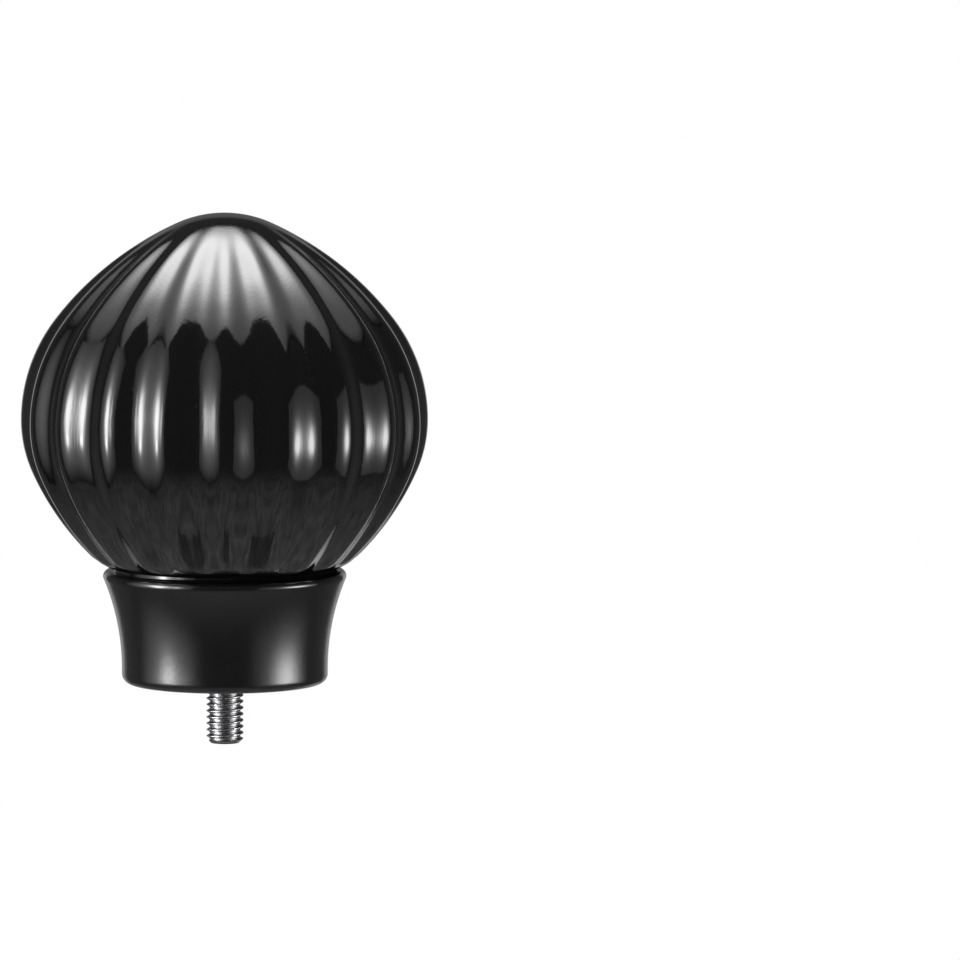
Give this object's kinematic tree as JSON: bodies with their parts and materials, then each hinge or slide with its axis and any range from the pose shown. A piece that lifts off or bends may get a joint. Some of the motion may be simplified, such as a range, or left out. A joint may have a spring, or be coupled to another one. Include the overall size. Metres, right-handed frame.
{
  "type": "curtain pole finial",
  "caption": "Fluted onion-shaped curtain pole finial on a flared round collar, with a threaded stud that screws into the pole's end.",
  "frame": {"origin": "centre of the collar's flat bottom face, which lies against the pole's end", "axes": "+Z along the common axis towards the tip of the head; the stud points to -Z"},
  "size_m": [0.0646, 0.0646, 0.0845],
  "materials": {
    "gloss_black": "high gloss black, mirror-like",
    "satin_black": "satin black paint with a fine grain",
    "zinc_plated_steel": "bright zinc plate on a rolled thread"
  },
  "bodies": {
    "root": {"fluted_head": "gloss_black", "flared_collar": "satin_black", "threaded_stud": "zinc_plated_steel"}
  },
  "joints": []
}
